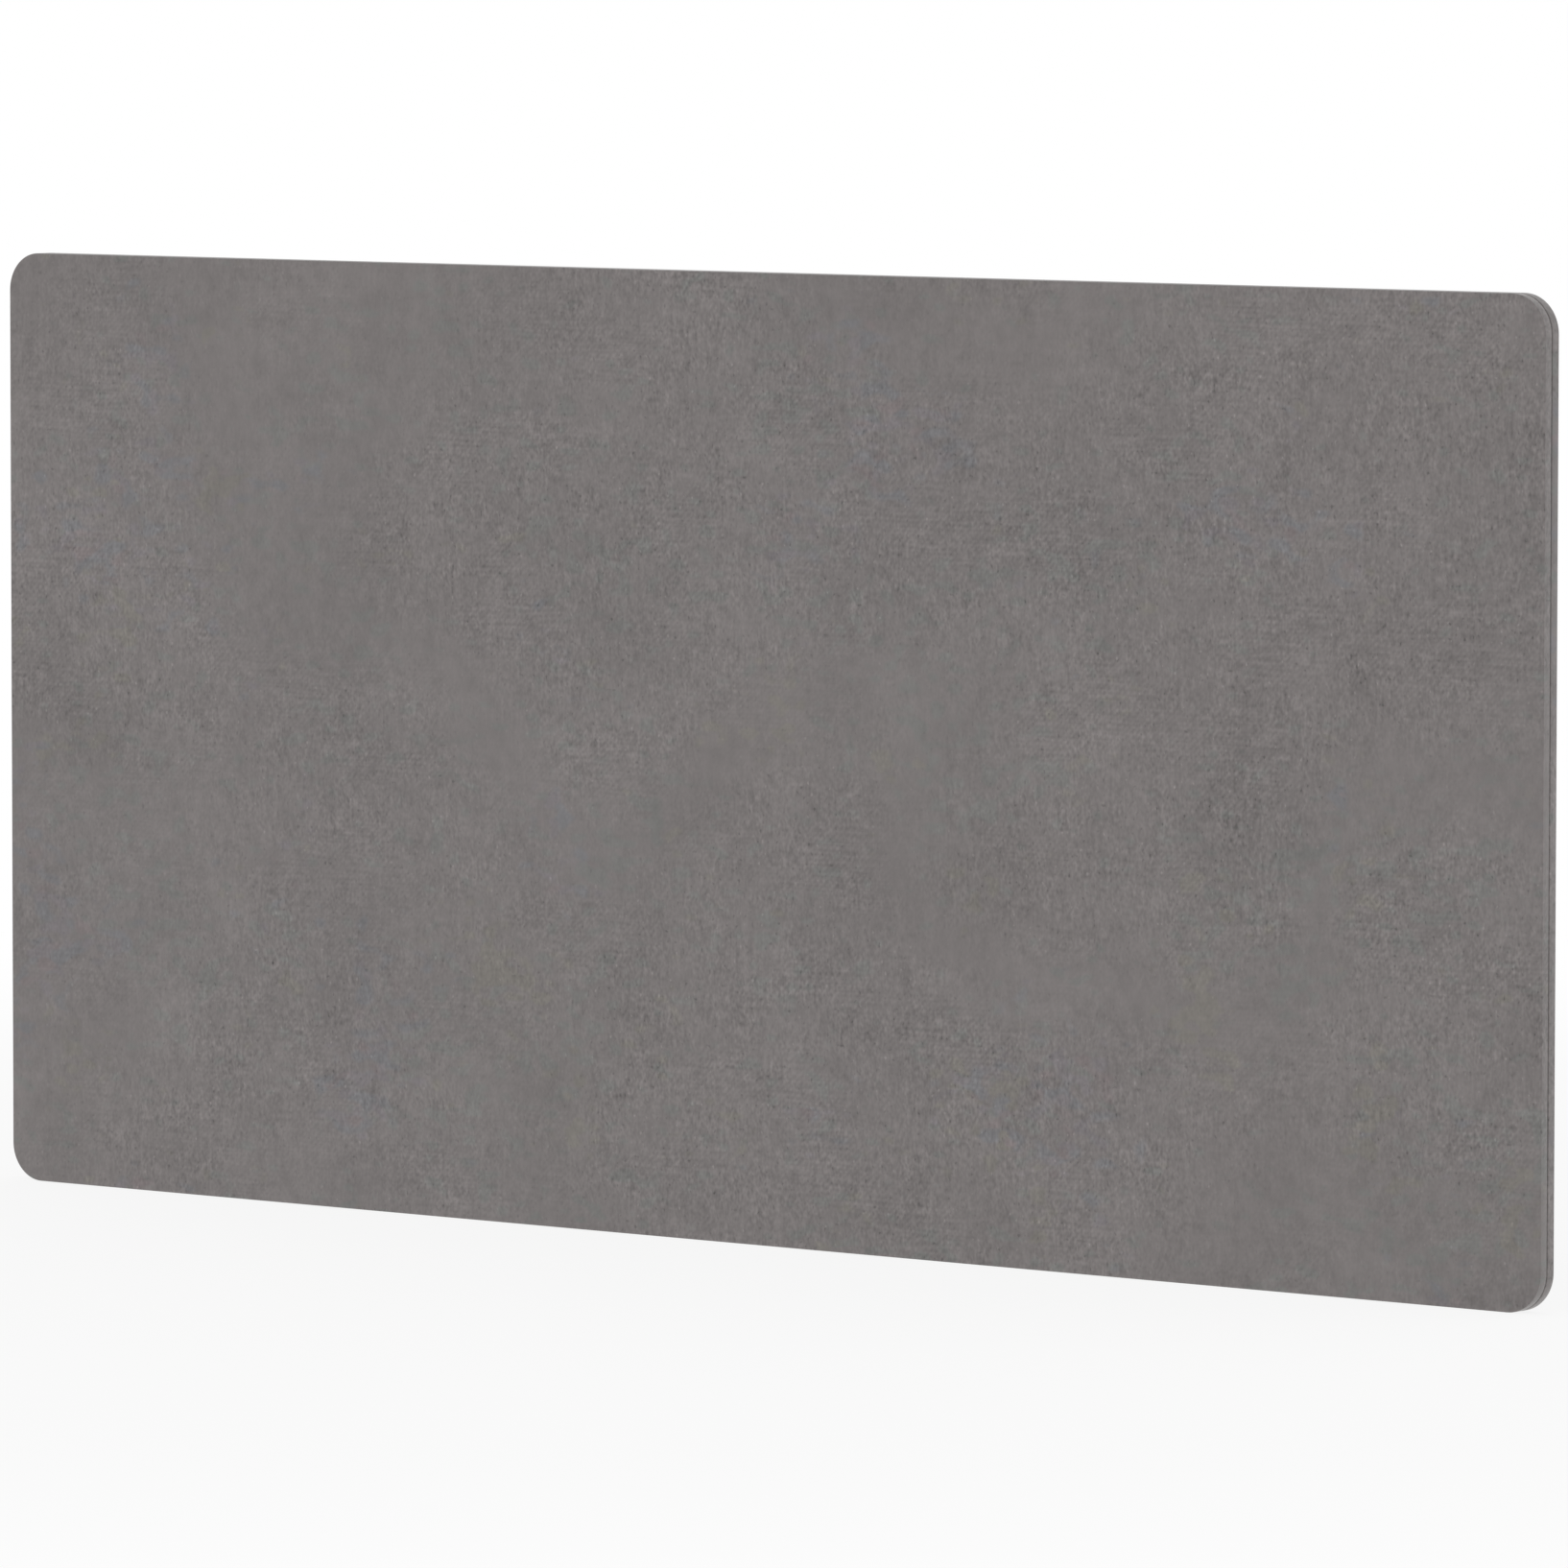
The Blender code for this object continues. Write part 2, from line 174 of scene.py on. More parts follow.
# Ray flecks, drawn about twice as large as they are, so that they show.
BEECH_FLECK_MM = (0.5, 0.5, 5.0)
BEECH_FLECK_RANGE = (0.34, 0.52)
BEECH_RELIEF = 0.000025


def mesh_from(bm, name, sharp_angle):
    """Turn a finished bmesh into a smooth mesh whose faces point outwards."""
    bmesh.ops.recalc_face_normals(bm, faces=bm.faces)
    mesh = bpy.data.meshes.new(name)
    bm.to_mesh(mesh)
    bm.free()
    mesh.shade_smooth()
    mesh.set_sharp_from_angle(angle=math.radians(sharp_angle))
    return mesh


def turned(rows, ring):
    """Faces between rings of points about Z. Each row is (z, the radius at each point)."""
    bm = bmesh.new()
    loops = []
    for z, radii in rows:
        angles = [math.tau * i / ring for i in range(ring)]
        loops.append([
            bm.verts.new((radius * math.cos(angle), radius * math.sin(angle), z))
            for radius, angle in zip(radii, angles)])
    for first, second in zip(loops, loops[1:]):
        for i in range(ring):
            bm.faces.new((first[i - 1], first[i], second[i], second[i - 1]))
    return bm, loops


def add_piece(name, mesh, finish):
    """Link a new piece in its finish."""
    piece = bpy.data.objects.new(name, mesh)
    piece.data.materials.append(finish)
    bpy.context.scene.collection.objects.link(piece)
    return piece


def turned_beech():
    """Steamed beech: pinkish tan with short dark flecks along the grain."""
    finish, tree, shader, in_mm = new_finish(
        "turned_beech", roughness=0.62, ior=1.53, specular=0.4)
    stretch = tuple(1 / size for size in BEECH_FLECK_MM)
    along = node(tree, "VectorMath", {0: in_mm, 1: stretch}, operation="MULTIPLY").outputs[0]
    flecks = node(tree, "TexNoise", {"Vector": along, "Scale": 1.0, "Detail": 3.0}).outputs["Fac"]
    low, high = BEECH_FLECK_RANGE
    tone = node(tree, "MapRange", {0: flecks, "From Min": low, "From Max": high}).outputs[0]
    colour = node(tree, "Mix", {
        0: tone, 6: linear(BEECH_DARK), 7: linear(BEECH_COLOUR)}, data_type="RGBA")
    relief = node(tree, "Bump", {"Height": flecks, "Distance": BEECH_RELIEF})
    tree.links.new(colour.outputs[2], shader.inputs["Base Color"])
    tree.links.new(relief.outputs[0], shader.inputs["Normal"])
    return finish


def dowel_mesh(diameter, length):
    """A fluted rod along Z, with chamfered ends."""
    ring = 2 * DOWEL_FLUTES
    crest, root = diameter / 2, diameter / 2 - DOWEL_FLUTE_DEPTH
    fluted = [root if i % 2 else crest for i in range(ring)]
    tip = [crest - DOWEL_CHAMFER] * ring
    end = length / 2
    rows = [(-end, tip), (DOWEL_CHAMFER - end, fluted), (end - DOWEL_CHAMFER, fluted), (end, tip)]
    bm, loops = turned(rows, ring)
    bm.faces.new(loops[0])
    bm.faces.new(loops[-1])
    return mesh_from(bm, "fluted_dowel", sharp_angle=40)


beech_finish = turned_beech()
dowel_names = sorted(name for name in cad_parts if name.startswith("dowel_"))
for name in dowel_names:
    low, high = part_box(name)
    size = high - low
    mesh = dowel_mesh(diameter=size.y, length=max(size))
    dowel = add_piece("fluted_" + name, mesh, beech_finish)
    dowel.location = (low + high) / 2
    dowel.rotation_euler = (0, math.pi / 2, 0) if size.x > size.z else (0, 0, 0)
    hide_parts(name)
    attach(dowel, "root")


# ---- Screw inserts -----------------------------------------------------------------------
# Four brass inserts with an M6 thread, turned and knurled, pressed into the back of the
# bottom rail. The desk brackets are screwed to them through the holes in the back cover.

INSERT_KNURLS = 28
INSERT_KNURL_DEPTH = 0.00014
INSERT_GROOVE_WIDTH = 0.0016
INSERT_GROOVE_DEPTH = 0.0004
THREAD_MINOR_RADIUS = 0.0025
THREAD_MAJOR_RADIUS = 0.0030
THREAD_PITCH = 0.0010
THREAD_STEPS_PER_TURN = 8
MOUTH_CHAMFER = 0.0006
MOUTH_RADIUS = 0.0032
BRASS_COLOUR = "B8954F"
BRASS_TARNISH = "8E6E38"
BRASS_STAIN_MM = 1.7
BRASS_STAIN_RANGE = (0.35, 0.55)
# The feed marks of the lathe, drawn about twice as wide as they are, so that they show.
TOOL_MARK_MM = 0.12
TOOL_MARK_DEPTH = 0.00001


def turned_brass():
    """Free-cutting brass off the lathe: satin yellow with fine tool marks and a little tarnish."""
    finish, tree, shader, in_mm = new_finish("turned_brass", roughness=0.34, metallic=1.0)
    height = node(tree, "SeparateXYZ", {0: in_mm}).outputs["Z"]
    marks = node(tree, "TexNoise", {
        "W": height, "Scale": 1 / TOOL_MARK_MM, "Detail": 2.0},
        noise_dimensions="1D").outputs["Fac"]
    stains = node(tree, "TexNoise", {
        "Vector": in_mm, "Scale": 1 / BRASS_STAIN_MM, "Detail": 3.0}).outputs["Fac"]
    low, high = BRASS_STAIN_RANGE
    tone = node(tree, "MapRange", {0: stains, "From Min": low, "From Max": high}).outputs[0]
    colour = node(tree, "Mix", {
        0: tone, 6: linear(BRASS_TARNISH), 7: linear(BRASS_COLOUR)}, data_type="RGBA")
    relief = node(tree, "Bump", {"Height": marks, "Distance": TOOL_MARK_DEPTH})
    tree.links.new(colour.outputs[2], shader.inputs["Base Color"])
    tree.links.new(relief.outputs[0], shader.inputs["Normal"])
    return finish


def insert_mesh(radius, length):
    """A knurled sleeve along Z, grooved round its middle, with a helical thread in its bore."""
    ring = 2 * INSERT_KNURLS
    end, groove = length / 2, INSERT_GROOVE_WIDTH / 2
    knurled = [radius - INSERT_KNURL_DEPTH * (i % 2) for i in range(ring)]
    plain = [radius - 2 * INSERT_KNURL_DEPTH] * ring
    waist = [radius - INSERT_GROOVE_DEPTH] * ring
    land = INSERT_KNURL_DEPTH
    rows = [
        (-end, plain), (2 * land - end, knurled), (-groove - land, knurled), (-groove, waist),
        (groove, waist), (groove + land, knurled), (end - 2 * land, knurled), (end, plain),
    ]
    mouth = [MOUTH_RADIUS] * ring
    rows.append((end, mouth))
    thread_depth = THREAD_MAJOR_RADIUS - THREAD_MINOR_RADIUS
    steps = round((length - 2 * MOUTH_CHAMFER) / THREAD_PITCH * THREAD_STEPS_PER_TURN)
    for step in range(steps + 1):
        z = end - MOUTH_CHAMFER - step * (length - 2 * MOUTH_CHAMFER) / steps
        turns = [(z / THREAD_PITCH - i / ring) % 1.0 for i in range(ring)]
        rows.append((z, [THREAD_MINOR_RADIUS + thread_depth * abs(2 * t - 1) for t in turns]))
    rows.append((-end, mouth))
    rows.append(rows[0])
    bm, loops = turned(rows, ring)
    bmesh.ops.weld_verts(bm, targetmap=dict(zip(loops[-1], loops[0])))
    return mesh_from(bm, "threaded_insert", sharp_angle=30)


brass_finish = turned_brass()
insert_names = sorted(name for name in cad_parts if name.startswith("screw_insert_"))
for name in insert_names:
    low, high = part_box(name)
    mesh = insert_mesh(radius=(high.x - low.x) / 2, length=high.y - low.y)
    insert = add_piece("threaded_" + name, mesh, brass_finish)
    insert.location = (low + high) / 2
    insert.rotation_euler = (-math.pi / 2, 0, 0)
    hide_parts(name)
    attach(insert, "root")


# ---- Absorber pads -----------------------------------------------------------------------
# One pad of needled polyester felt in each bay, die-cut from sheet as thick as the frame.
# The felt is made from shredded textiles, so it is dark grey with threads of many colours.

PAD_CORNER_RADIUS = 0.004
PAD_EDGE_RADIUS = 0.0025
PAD_CORNER_STEPS = 4
PAD_PITCH = 0.012
PAD_RELIEF = 0.00010
PAD_RELIEF_MM = 30.0
# Short ends of thread, and the bends in them. The fibres are too fine to show.
FELT_THREAD_MM = 1.2
FELT_BEND_MM = 8.3
FELT_BEND_REACH = (9.0, 9.0, 9.0)
FELT_DARK = "3B3E42"
FELT_PALE = "80848A"
FELT_THREAD_RANGE = (0.34, 0.70)
FELT_COLOURED_SHARE = (0.18, 0.18, 0.18)
# The middle value of a noise pattern.
NOISE_MIDDLE = 0.5
FELT_RELIEF = 0.0004
FELT_SHEEN = 0.15
EDGE_STEPS = 5
SWELL_AT_RIM = 0.4
SWELL_FADES_OVER = 0.03
SWELL_FINER_BY = 2.7
SWELL_FINER_SHARE = 0.4


def arc(centre, radius, start, end, steps):
    """Points of an arc, from one angle to another in degrees."""
    angles = [math.radians(start + (end - start) * step / steps) for step in range(steps + 1)]
    return [(centre[0] + radius * math.cos(a), centre[1] + radius * math.sin(a)) for a in angles]


def steps_between(low, high, pitch):
    """Values from low to high, evenly spaced at about a pitch."""
    count = max(1, round((high - low) / pitch))
    return [low + (high - low) * i / count for i in range(count + 1)]


class RoundedSheet:
    """The points of a rounded rectangle in X and Z: a square grid inside, and a rim round it.

    The grid ends where the corners' centres are. Each rim point is a grid point on that
    border and the direction out from it, so an inset of nothing lies on the outline.
    """

    def __init__(self, low, high, radius, pitch, corner_steps):
        self.radius = radius
        self.columns = steps_between(low.x + radius, high.x - radius, pitch)
        self.rows = steps_between(low.z + radius, high.z - radius, pitch)
        last_column, last_row = len(self.columns) - 1, len(self.rows) - 1
        right = [(last_column, j) for j in range(last_row + 1)]
        top = [(i, last_row) for i in range(last_column, -1, -1)]
        left = [(0, j) for j in range(last_row, -1, -1)]
        bottom = [(i, 0) for i in range(last_column + 1)]
        self.rim = []
        for side, border in enumerate((right, top, left, bottom)):
            for grid_point in border:
                self.rim.append((grid_point, side * math.pi / 2))
            for step in range(1, corner_steps):
                self.rim.append((border[-1], (side + step / corner_steps) * math.pi / 2))

    def rim_point(self, rim_index, distance):
        """A point of the rim, at a distance out from the grid's border."""
        (i, j), angle = self.rim[rim_index]
        across, up = distance * math.cos(angle), distance * math.sin(angle)
        return self.columns[i] + across, self.rows[j] + up


def soft_shell(name, sheet, path, relief, relief_mm, cut_from=(0.0, 0.0)):
    """A closed skin over both faces of a sheet and round its rim.

    The path goes out over one face, round the edge and back in over the other, as points
    of (inset, y). Both faces share the same low swells, with finer ones on them, and all are
    lower near the rim. A UV map gives each point's place on the roll that the sheet was cut
    from, in metres.
    """
    bm = bmesh.new()
    flat = {}
    # How far each point of the path lies along the skin from the grid's border.
    reach = [0.0]
    start = (sheet.radius, path[0][1])
    for before, after in zip([start, *path], path):
        reach.append(reach[-1] + math.dist(before, after))
    reach = reach[1:]
    total = reach[-1] + math.dist(path[-1], (sheet.radius, path[-1][1]))

    def swell(x, z):
        edge = min(
            x - sheet.columns[0], sheet.columns[-1] - x, z - sheet.rows[0], sheet.rows[-1] - z)
        fade = min(1.0, SWELL_AT_RIM + edge / SWELL_FADES_OVER)
        at = Vector((x, 0.0, z)) * MM_PER_METRE / relief_mm
        finer = SWELL_FINER_SHARE * noise.noise(at * SWELL_FINER_BY)
        return relief * fade * (noise.noise(at) + finer)

    grids = []
    for y in (path[0][1], path[-1][1]):
        grid = {}
        for i, x in enumerate(sheet.columns):
            for j, z in enumerate(sheet.rows):
                grid[i, j] = bm.verts.new((x, y + swell(x, z), z))
                flat[grid[i, j]] = (x, z)
        grids.append(grid)
        for i in range(len(sheet.columns) - 1):
            for j in range(len(sheet.rows) - 1):
                bm.faces.new((grid[i, j], grid[i + 1, j], grid[i + 1, j + 1], grid[i, j + 1]))
    loops = [[grids[0][grid_point] for grid_point, _ in sheet.rim]]
    for (inset, y), out in zip(path, reach):
        loop = []
        for index in range(len(sheet.rim)):
            x, z = sheet.rim_point(index, sheet.radius - inset)
            vert = bm.verts.new((x, y, z))
            flat[vert] = sheet.rim_point(index, min(out, total - out))
            loop.append(vert)
        loops.append(loop)
    loops.append([grids[1][grid_point] for grid_point, _ in sheet.rim])
    for first, second in zip(loops, loops[1:]):
        for i in range(len(first)):
            around = (first[i - 1], first[i], second[i], second[i - 1])
            # Round a corner the rim shares one grid point, and the face has three sides.
            if len(set(around)) > 2:
                bm.faces.new(dict.fromkeys(around))
    laid_flat = bm.loops.layers.uv.new("laid_flat")
    for face in bm.faces:
        for corner in face.loops:
            corner[laid_flat].uv = Vector(flat[corner.vert]) + Vector(cut_from)
    return mesh_from(bm, name, sharp_angle=60)


def needled_felt():
    """Felt of shredded textiles: dark grey, speckled with pale, black and coloured threads."""
    finish, tree, shader, in_mm = new_finish(
        "needled_felt", roughness=0.97, ior=1.58, specular=0.15)
    bend = node(tree, "TexNoise", {
        "Vector": in_mm, "Scale": 1 / FELT_BEND_MM, "Detail": 1.0}).outputs["Color"]
    bent = node(tree, "VectorMath", {
        0: bend, 1: FELT_BEND_REACH, 2: in_mm}, operation="MULTIPLY_ADD").outputs[0]
    threads = node(tree, "TexNoise", {
        "Vector": bent, "Scale": 1 / FELT_THREAD_MM, "Detail": 3.0, "Roughness": 0.6}).outputs
    low, high = FELT_THREAD_RANGE
    tone = node(tree, "MapRange", {0: threads["Fac"], "From Min": low, "From Max": high}).outputs[0]
    grey = node(tree, "Mix", {
        0: tone, 6: linear(FELT_DARK), 7: linear(FELT_PALE)}, data_type="RGBA").outputs[2]
    dye = node(tree, "VectorMath", {
        0: threads["Color"], 1: (NOISE_MIDDLE,) * 3}, operation="SUBTRACT").outputs[0]
    dyed = node(tree, "VectorMath", {
        0: dye, 1: FELT_COLOURED_SHARE, 2: grey}, operation="MULTIPLY_ADD")
    relief = node(tree, "Bump", {"Height": threads["Fac"], "Distance": FELT_RELIEF})
    shader.inputs["Sheen Weight"].default_value = FELT_SHEEN
    tree.links.new(dyed.outputs[0], shader.inputs["Base Color"])
    tree.links.new(relief.outputs[0], shader.inputs["Normal"])
    return finish


felt_finish = needled_felt()
pad_names = sorted(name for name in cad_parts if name.startswith("absorber_pad_"))
for name in pad_names:
    low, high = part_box(name)
    face = high.y - PAD_EDGE_RADIUS
    path = arc((PAD_EDGE_RADIUS, -face), PAD_EDGE_RADIUS, 270, 180, EDGE_STEPS)
    path += arc((PAD_EDGE_RADIUS, face), PAD_EDGE_RADIUS, 180, 90, EDGE_STEPS)
    sheet = RoundedSheet(low, high, PAD_CORNER_RADIUS, PAD_PITCH, PAD_CORNER_STEPS)
    mesh = soft_shell(name, sheet, path, relief=PAD_RELIEF, relief_mm=PAD_RELIEF_MM)
    pad = add_piece("felt_" + name, mesh, felt_finish)
    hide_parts(name)
    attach(pad, "root")


# ---- Fleeces -----------------------------------------------------------------------------
# A sheet of needle-punched polyester fleece is glued over each face of the frame and trimmed
# flush with it. It hides the joints of the board and rounds the cloth a little at the edge.

FLEECE_PITCH = 0.025
FLEECE_EDGE_ROUNDING = 0.3
FLEECE_RELIEF = 0.00008
FLEECE_RELIEF_MM = 60.0
NEEDLE_SPACING_MM = 2.4
# Tufts of fibres. One fibre is too fine to show.
FLEECE_FIBRE_MM = 1.25
FLEECE_COLOUR = "D9D6CF"
# Painted shade: the colour of the fleece down in its needle pits, darker than the fleece itself.
FLEECE_PAINTED_PIT_SHADE = "BFBBB2"
FLEECE_PIT_RANGE = (0.45, 0.85)
FLEECE_PIT_DEPTH = 0.0002
FLEECE_SHEEN = 0.10
SCREW_HOLE_DIAMETER = 0.0074
SCREW_HOLE_REACH = 0.020
SCREW_HOLE_STEPS = 40
CORNER_RADIUS = 0.032
CORNER_STEPS = 20


def needled_fleece():
    """White polyester fleece: soft and cloudy, pitted all over by the needles, with painted shade
    darkening the pits.
    """
    finish, tree, shader, in_mm = new_finish(
        "needled_fleece", roughness=0.98, ior=1.58, specular=0.15)
    pits = node(tree, "TexVoronoi", {
        "Vector": in_mm, "Scale": 1 / NEEDLE_SPACING_MM, "Randomness": 0.8}).outputs["Distance"]
    fibres = node(tree, "TexNoise", {
        "Vector": in_mm, "Scale": 1 / FLEECE_FIBRE_MM, "Detail": 4.0,
        "Roughness": 0.6}).outputs["Fac"]
    pitted = node(tree, "Math", {0: pits, 1: fibres}, operation="ADD").outputs[0]
    low, high = FLEECE_PIT_RANGE
    tone = node(tree, "MapRange", {0: pitted, "From Min": low, "From Max": high}).outputs[0]
    # Painted shade: the fleece is darker in its needle pits, and the fibre tufts vary its tone a
    # little too.
    colour = node(tree, "Mix", {
        0: tone, 6: linear(FLEECE_PAINTED_PIT_SHADE), 7: linear(FLEECE_COLOUR)}, data_type="RGBA")
    relief = node(tree, "Bump", {"Height": pitted, "Distance": FLEECE_PIT_DEPTH})
    shader.inputs["Sheen Weight"].default_value = FLEECE_SHEEN
    tree.links.new(colour.outputs[2], shader.inputs["Base Color"])
    tree.links.new(relief.outputs[0], shader.inputs["Normal"])
    return finish


def screw_holes():
    """A cutter with one rod out from the middle of every insert."""
    bm = bmesh.new()
    for name in insert_names:
        low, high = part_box(name)
        middle = (low + high) / 2
        place = Matrix.Translation((middle.x, high.y + SCREW_HOLE_REACH / 2, middle.z))
        bmesh.ops.create_cone(
            bm, cap_ends=True, segments=SCREW_HOLE_STEPS, depth=SCREW_HOLE_REACH,
            radius1=SCREW_HOLE_DIAMETER / 2, radius2=SCREW_HOLE_DIAMETER / 2,
            matrix=place @ Matrix.Rotation(math.pi / 2, 4, "X"))
    rods = mesh_from(bm, "screw_hole_cutter", sharp_angle=30)
    cutter = bpy.data.objects.new("screw_hole_cutter", rods)
    bpy.context.scene.collection.objects.link(cutter)
    return cutter


def punch(piece, cutter):
    """Cut the screw holes through a sheet, and keep the result as its mesh."""
    boolean = piece.modifiers.new("screw_holes", "BOOLEAN")
    boolean.object = cutter
    evaluated = piece.evaluated_get(bpy.context.evaluated_depsgraph_get())
    punched = bpy.data.meshes.new_from_object(evaluated)
    piece.modifiers.remove(boolean)
    piece.data = punched


fleece_finish = needled_fleece()
hole_cutter = screw_holes()
for name in ("front_fleece", "back_fleece"):
    low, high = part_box(name)
    edge_radius = (high.y - low.y) * FLEECE_EDGE_ROUNDING
    sheet = RoundedSheet(low, high, CORNER_RADIUS - (low.x - cad_low.x), FLEECE_PITCH, CORNER_STEPS)
    path = arc((edge_radius, low.y + edge_radius), edge_radius, 270, 180, EDGE_STEPS)
    path += arc((edge_radius, high.y - edge_radius), edge_radius, 180, 90, EDGE_STEPS)
    mesh = soft_shell(name, sheet, path, relief=FLEECE_RELIEF, relief_mm=FLEECE_RELIEF_MM)
    fleece = add_piece("needled_" + name, mesh, fleece_finish)
    if name == "back_fleece":
        punch(fleece, hole_cutter)
    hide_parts(name)
    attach(fleece, "root")


# ---- Seam strip --------------------------------------------------------------------------
# A flat strip of black PVC, extruded, pushed edgeways into the kerf. It wedges the hems of
# both covers, and closes the bottom of the slit between them.

PVC_STREAK_MM = (14.0, 0.25, 14.0)
PVC_COLOUR = "211F1F"
PVC_SCUFF = "383635"
PVC_SCUFF_RANGE = (0.45, 0.75)
PVC_SCUFF_DEPTH = 0.000015


def extruded_pvc():
    """Black PVC from the die: near black and satin, with faint paler scuffs."""
    finish, tree, shader, in_mm = new_finish("extruded_pvc", roughness=0.5, ior=1.53)
    stretch = tuple(1 / size for size in PVC_STREAK_MM)
    along = node(tree, "VectorMath", {0: in_mm, 1: stretch}, operation="MULTIPLY").outputs[0]
    scuffs = node(tree, "TexNoise", {"Vector": along, "Scale": 1.0, "Detail": 3.0}).outputs["Fac"]
    low, high = PVC_SCUFF_RANGE
    tone = node(tree, "MapRange", {0: scuffs, "From Min": low, "From Max": high}).outputs[0]
    colour = node(tree, "Mix", {
        0: tone, 6: linear(PVC_COLOUR), 7: linear(PVC_SCUFF)}, data_type="RGBA")
    relief = node(tree, "Bump", {"Height": scuffs, "Distance": PVC_SCUFF_DEPTH})
    tree.links.new(colour.outputs[2], shader.inputs["Base Color"])
    tree.links.new(relief.outputs[0], shader.inputs["Normal"])
    return finish


give_finish("seam_strip", extruded_pvc())


# ---- Covers ------------------------------------------------------------------------------
# Two covers of fulled wool twill, yarn-dyed from a blend of greys. Each is stretched over a
# face, turned over a tight edge and half the thickness, and its hem is tucked into the kerf.

CLOTH_THICKNESS = 0.0010
ARRIS_RADIUS = 0.0008
LIP_RADIUS = 0.0009
HEM_THICKNESS = 0.0007
HEM_DEPTH = 0.0060
HEM_CLEARANCE = 0.0003
COVER_PITCH = 0.0125
COVER_RELIEF = 0.00012
COVER_RELIEF_MM = 90.0
ARRIS_STEPS = 6
LIP_STEPS = 5
FACE_INSETS = (0.024, 0.014, 0.006, 0.002)

WOOL_COLOUR = "7A7574"
# Marks in the cloth: the width and height of each kind in mm, and its detail. Real slivers,
# fibres and nap are half as wide or less, too fine to show, and are drawn as coarse as they need.
WOOL_MARKS = {
    "roll": (260.0, 260.0, 1.0),
    "cloud": (120.0, 120.0, 1.0),
    "bloom": (60.0, 64.0, 0.0),
    "mottle": (16.0, 20.0, 0.0),
    "tuft": (9.0, 12.0, 0.0),
    "sliver": (4.6, 11.5, 0.0),
    "fibre": (3.5, 6.2, 0.0),
    "nap": (2.15, 3.6, 0.0),
    "fold": (460.0, 420.0, 1.0),
    "milled": (40.0, 28.0, 2.0),
    "worn": (130.0, 80.0, 2.0),
    "weft": (23.0, 2.5, 0.0),
    "warp": (2.2, 24.0, 0.0),
    "fleck": (3.2, 4.6, 0.0),
    "dark_speck": (2.8, 4.2, 0.0),
    "teal": (17.0, 9.5, 0.0),
    "blue": (24.0, 14.0, 0.0),
    "lavender": (21.0, 12.0, 0.0),
    "olive": (17.0, 10.0, 0.0),
    "rose": (22.0, 12.0, 0.0),
    "teal_lot": (210.0, 210.0, 2.0),
    "blue_lot": (190.0, 170.0, 2.0),
    "olive_lot": (90.0, 90.0, 2.0),
}
# How far apart in the noise the marks lie, so that no two are alike.
WOOL_LAYER_STEP = 7.3
# Contrast of the clouds that the blending leaves, and of the grain over them.
WOOL_CLOUDS = {"roll": 0.18, "cloud": 0.10, "bloom": 0.12, "mottle": 0.16, "tuft": 0.13}
WOOL_GRAIN = {"sliver": 0.22, "fibre": 0.38, "nap": 0.40}
# How strong each effect is: the mark that it goes by, that mark's low and high, and the
# strengths there. Milling dulls the grain in places. Where the nap is worn, weft threads and
# ribs come through, and elsewhere the warp. The whole weave dies down along the milling folds.
WOOL_STRENGTHS = {
    "grain": ("milled", 0.31, 0.69, 0.52, 1.40),
    "weft": ("worn", 0.44, 0.60, 0.0, 0.31),
    "warp": ("worn", 0.40, 0.55, 0.13, 0.0),
    "ribs": ("worn", 0.46, 0.58, 0.0, 0.040),
    "weave": ("fold", 0.41, 0.49, 1.0, 0.34),
    "fleck": ("fleck", 0.76, 0.86, 0.0, 0.36),
    # Small dark specks: they darken the colour and lower the relief a little.
    "dark_speck": ("dark_speck", 0.72, 0.84, 0.0, -0.32),
    "roughness": ("milled", 0.0, 1.0, 0.90, 1.0),
}
# The slanting ribs of the twill. Real ones are about half as wide, too fine to show.
RIB_MM = 4.1
RIB_SLOPE = 40.0
# Dyed slivers: their colour, the mark that they gather in and how closely, and where they start.
WOOL_TINTS = {
    "teal": ("777674", "teal_lot", 0.7, 0.975),
    "blue": ("767577", "blue_lot", 2.0, 1.88),
    "lavender": ("7A7577", "blue_lot", 2.0, 1.91),
    "olive": ("7B7772", "olive_lot", 2.0, 1.90),
    "rose": ("7C7474", "blue_lot", 2.0, 1.99),
}
TINT_EDGE = 0.14
WOOL_RELIEF = 0.00004
WOOL_SHEEN = 0.50
WOOL_SHEEN_ROUGHNESS = 0.50


